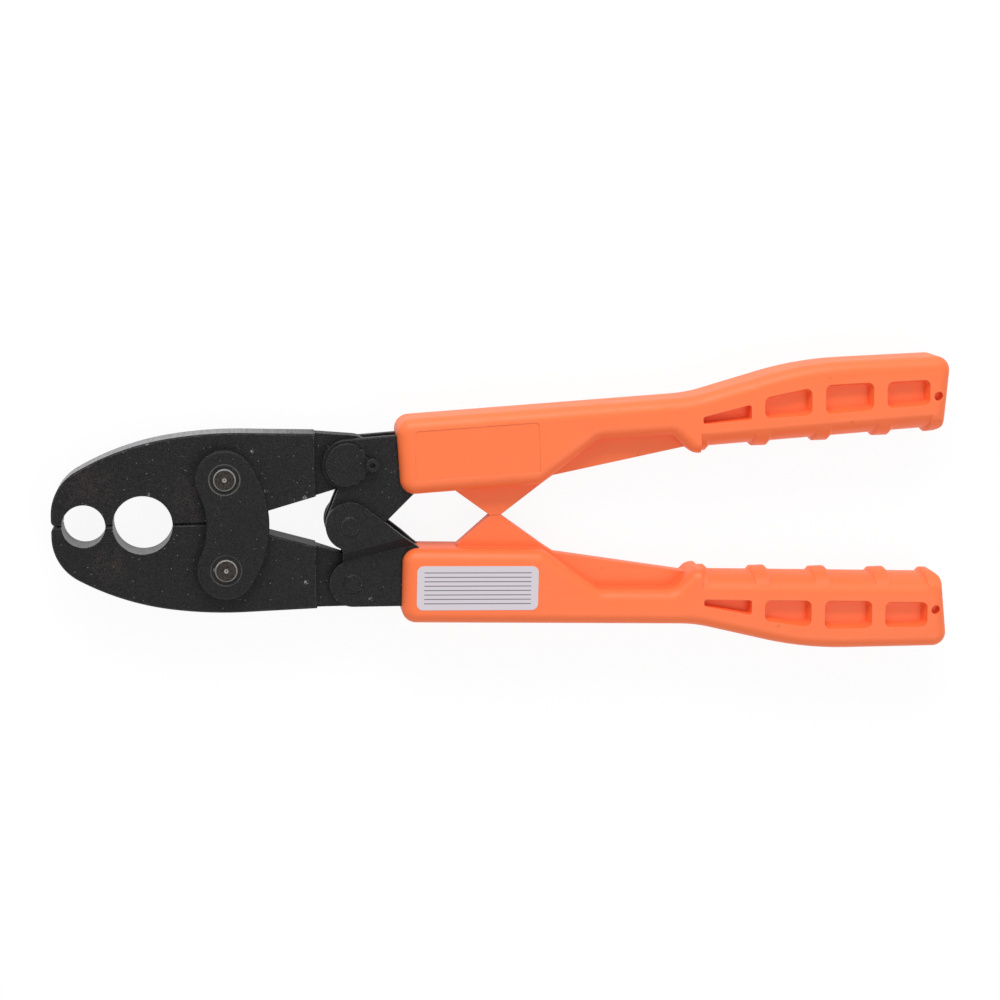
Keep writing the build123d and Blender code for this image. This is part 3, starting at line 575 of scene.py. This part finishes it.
class CRIMPER_OT_links(bpy.types.Operator):
    """Dress the link plates and the jaw pins"""

    bl_idname = "crimper.links"
    bl_label = "Link plates"

    def execute(self, context):
        look = context.scene.crimper_steel
        upper = JOINTS["upper_jaw_hinge"]["pos_m"]
        lower = JOINTS["lower_jaw_hinge"]["pos_m"]
        # Painted highlights round the jaw pins' dishes, stronger at the upper pin.
        rings = [(upper, LINK_DISH, 0.3, 0.28), (lower, LINK_DISH, 0.3, 0.12)]
        plate = black_oxide("link_oxide", look, 0.6, 0.8, (), rings)
        for node in ("front_link_plate", "rear_link_plate"):
            dress(node, node + "_blackened", [plate])
        for node, centre in (("upper_jaw_pin", upper), ("lower_jaw_pin", lower)):
            dress(node, node + "_turned", [turned_pin(node + "_steel", look, centre, JAW_PIN_END)])
        return {"FINISHED"}


class CRIMPER_OT_linkage(bpy.types.Operator):
    """Dress the steel arms, their pins and the adjusting cam"""

    bl_idname = "crimper.linkage"
    bl_label = "Linkage"

    def execute(self, context):
        look = context.scene.crimper_steel
        arm = black_oxide("arm_oxide", look, 0.8)
        pin = black_oxide("arm_pin_oxide", look, 1.4)
        for side in ("upper", "lower"):
            for face in ("front", "rear"):
                dress(f"{side}_arm_{face}_plate", f"{side}_arm_{face}_plate_blackened", [arm])
            dress(f"{side}_arm_spacer", f"{side}_arm_spacer_sawn", [arm])
            dress(f"{side}_arm_rivets", f"{side}_arm_rivets_turned", [pin])
        for node in ("centre_pin", "lower_arm_pin", "centre_spacer"):
            dress(node, node + "_turned", [pin])
        for node in ("adjusting_cam", "cam_washer", "cam_retaining_ring", "cam_lock_screw"):
            dress(node, node + "_turned", [arm])
        return {"FINISHED"}


class CRIMPER_OT_grips(bpy.types.Operator):
    """Dress the two moulded grips"""

    bl_idname = "crimper.grips"
    bl_label = "Grips"

    def execute(self, context):
        plastic = moulded_grip("orange_moulding", context.scene.crimper_grip)
        for node in ("upper_grip", "lower_grip"):
            dress(node, node + "_moulded", [plastic])
        return {"FINISHED"}


class CRIMPER_OT_sticker(bpy.types.Operator):
    """Make the sticker on the lower grip"""

    bl_idname = "crimper.sticker"
    bl_label = "Sticker"

    def execute(self, context):
        look = context.scene.crimper_sticker
        outline = rounded_outline(look.length / 2, look.width / 2, look.corner, 9)
        # Rings run from the outline's foot up to its edge and in to the middle: each is the outline
        # moved towards the middle by a share, at its own height.
        shares = np.array([1.0, 1.0, 0.994, 0.5, 0.0])
        heights = np.array([0.0, 0.09, 0.12, 0.12, 0.12])
        flat = outline[None, :, :] * shares[:, None, None]
        middle = on_handle(look.middle_x, look.middle_y, GRIP_TOP)
        angle = look.turn + HANDLE_SKEW
        x = middle.x + (flat[..., 0] * cos(angle) - flat[..., 1] * sin(angle)) * MM
        y = middle.y + (flat[..., 0] * sin(angle) + flat[..., 1] * cos(angle)) * MM
        z = middle.z + np.broadcast_to(heights[:, None] * MM, x.shape)
        points = np.stack([x, y, z], axis=-1)[:-1].reshape(-1, 3)
        count = len(outline)
        points = np.vstack([points, [[middle.x, middle.y, middle.z + heights[-1] * MM]]])
        ring = np.arange(count)
        after = (ring + 1) % count
        band = np.stack([ring, after, count + after, count + ring], 1)
        faces = [low * count + band for low in range(len(shares) - 2)]
        fan = np.stack([(len(shares) - 2) * count + ring, (len(shares) - 2) * count + after], 1)
        mesh = bpy.data.meshes.new("grip_sticker")
        hub = len(points) - 1
        everything = [list(face) for block in faces for face in block.tolist()]
        everything += [[a, b, hub] for a, b in fan.tolist()]
        everything.append(ring[::-1].tolist())
        mesh.from_pydata(points.tolist(), [], everything)
        mesh.materials.append(label_film("sticker_film", look))
        spread = mesh.uv_layers.new(name="label")
        corners = np.empty(len(mesh.loops), int)
        mesh.loops.foreach_get("vertex_index", corners)
        local = np.vstack([flat[:-1].reshape(-1, 2), [[0, 0]]])
        uv = local / [look.length, look.width] + 0.5
        spread.data.foreach_set("uv", uv[corners].reshape(-1).astype(np.float32))
        piece = bpy.data.objects.new("grip_sticker", mesh)
        context.scene.collection.objects.link(piece)
        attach(piece, "lower_handle")
        return {"FINISHED"}


class CRIMPER_OT_stage(bpy.types.Operator):
    """Set up the floor, the lamps and the camera"""

    bl_idname = "crimper.stage"
    bl_label = "Stage"

    def execute(self, context):
        look = context.scene.crimper_stage
        lay_floor()
        light_stage(look)
        place_camera(look)
        context.scene.view_settings.view_transform = "Standard"
        return {"FINISHED"}


def lay_floor():
    """A flat floor under the tool, white to the camera and to reflections, with a faint shadow."""
    half = 3.0
    points = np.array([[-half, -half, 0], [half, -half, 0], [half, half, 0], [-half, half, 0]], float)
    mesh = bpy.data.meshes.new("floor")
    mesh.from_pydata(points.tolist(), [], [[0, 1, 2, 3]])
    f = Finish("floor_white")
    seen = f.node("ShaderNodeLightPath", out="Is Camera Ray")
    mirrored = f.node("ShaderNodeLightPath", out="Is Glossy Ray")
    through = f.node("ShaderNodeLightPath", out="Is Transmission Ray")
    bright = (seen + mirrored + through) * 0.9
    matt = f.node("ShaderNodeBsdfDiffuse", {}, {"Color": (0.9, 0.9, 0.9, 1)})
    glow = f.node("ShaderNodeEmission", {}, {"Color": (1, 1, 1, 1), "Strength": 1.02})
    mixed = f.node("ShaderNodeMixShader", {}, {0: bright, 1: matt, 2: glow})
    f.node("ShaderNodeOutputMaterial", {}, {"Surface": mixed})
    mesh.materials.append(f.material)
    floor = bpy.data.objects.new("floor", mesh)
    bpy.context.scene.collection.objects.link(floor)


def light_stage(look):
    """Even white surroundings and one soft lamp from the far side of the tool."""
    world = bpy.data.worlds.new("surroundings")
    bpy.context.scene.world = world
    world.use_nodes = True
    world.node_tree.nodes["Background"].inputs["Color"].default_value = (1, 1, 1, 1)
    world.node_tree.nodes["Background"].inputs["Strength"].default_value = look.fill
    for name, place, size, power in (
        ("key_lamp", (-0.12, 0.95, 0.62), (0.9, 0.5), look.key),
        ("side_lamp", (0.5, -0.5, 1.1), (0.6, 0.6), look.key * 0.35),
    ):
        lamp = bpy.data.lights.new(name, "AREA")
        lamp.shape = "RECTANGLE"
        lamp.size, lamp.size_y = size
        lamp.energy = power
        holder = bpy.data.objects.new(name, lamp)
        bpy.context.scene.collection.objects.link(holder)
        holder.location = place
        holder.rotation_euler = (Vector((0, 0, 0)) - Vector(place)).to_track_quat("-Z", "Y").to_euler()


def place_camera(look):
    """Look down on the tool from a little beyond its far side, the frame's top towards +Y."""
    target = CENTRE_PIN + Vector((53.73, 6.81, 0)) * MM
    eye = target + Vector((-95.3, 131.75, 775.0)) * MM
    ahead = (target - eye).normalized()
    right = ahead.cross(Vector((0, 1, 0))).normalized()
    up = right.cross(ahead)
    data = bpy.data.cameras.new("camera")
    data.lens = look.lens
    data.sensor_width = 36.0
    data.clip_start = 0.01
    camera = bpy.data.objects.new("camera", data)
    bpy.context.scene.collection.objects.link(camera)
    turned = Matrix((right, up, -ahead)).transposed().to_4x4()
    camera.matrix_world = Matrix.Translation(eye) @ turned
    bpy.context.scene.camera = camera


class CRIMPER_PT_tool(bpy.types.Panel):
    """Lists the tool's settings and its making steps"""

    bl_label = "Crimping Tool"
    bl_idname = "CRIMPER_PT_tool"
    bl_space_type = "VIEW_3D"
    bl_region_type = "UI"
    bl_category = "Crimping Tool"

    def draw(self, context):
        for name, group in GROUPS.items():
            box = self.layout.box()
            for setting in group.__annotations__:
                box.prop(getattr(context.scene, name), setting)
        for step in STEPS:
            self.layout.operator(step.bl_idname)


STEPS = (
    CRIMPER_OT_stage,
    CRIMPER_OT_jaws,
    CRIMPER_OT_links,
    CRIMPER_OT_linkage,
    CRIMPER_OT_grips,
    CRIMPER_OT_sticker,
)
CLASSES = (*GROUPS.values(), *STEPS, CRIMPER_PT_tool)


def register():
    for item in CLASSES:
        bpy.utils.register_class(item)
    for name, group in GROUPS.items():
        setattr(bpy.types.Scene, name, bpy.props.PointerProperty(type=group))


def unregister():
    for name in GROUPS:
        delattr(bpy.types.Scene, name)
    for item in reversed(CLASSES):
        bpy.utils.unregister_class(item)


def main():
    register()
    for step in STEPS:
        family, action = step.bl_idname.split(".")
        getattr(getattr(bpy.ops, family), action)()


if __name__ == "__main__":
    main()
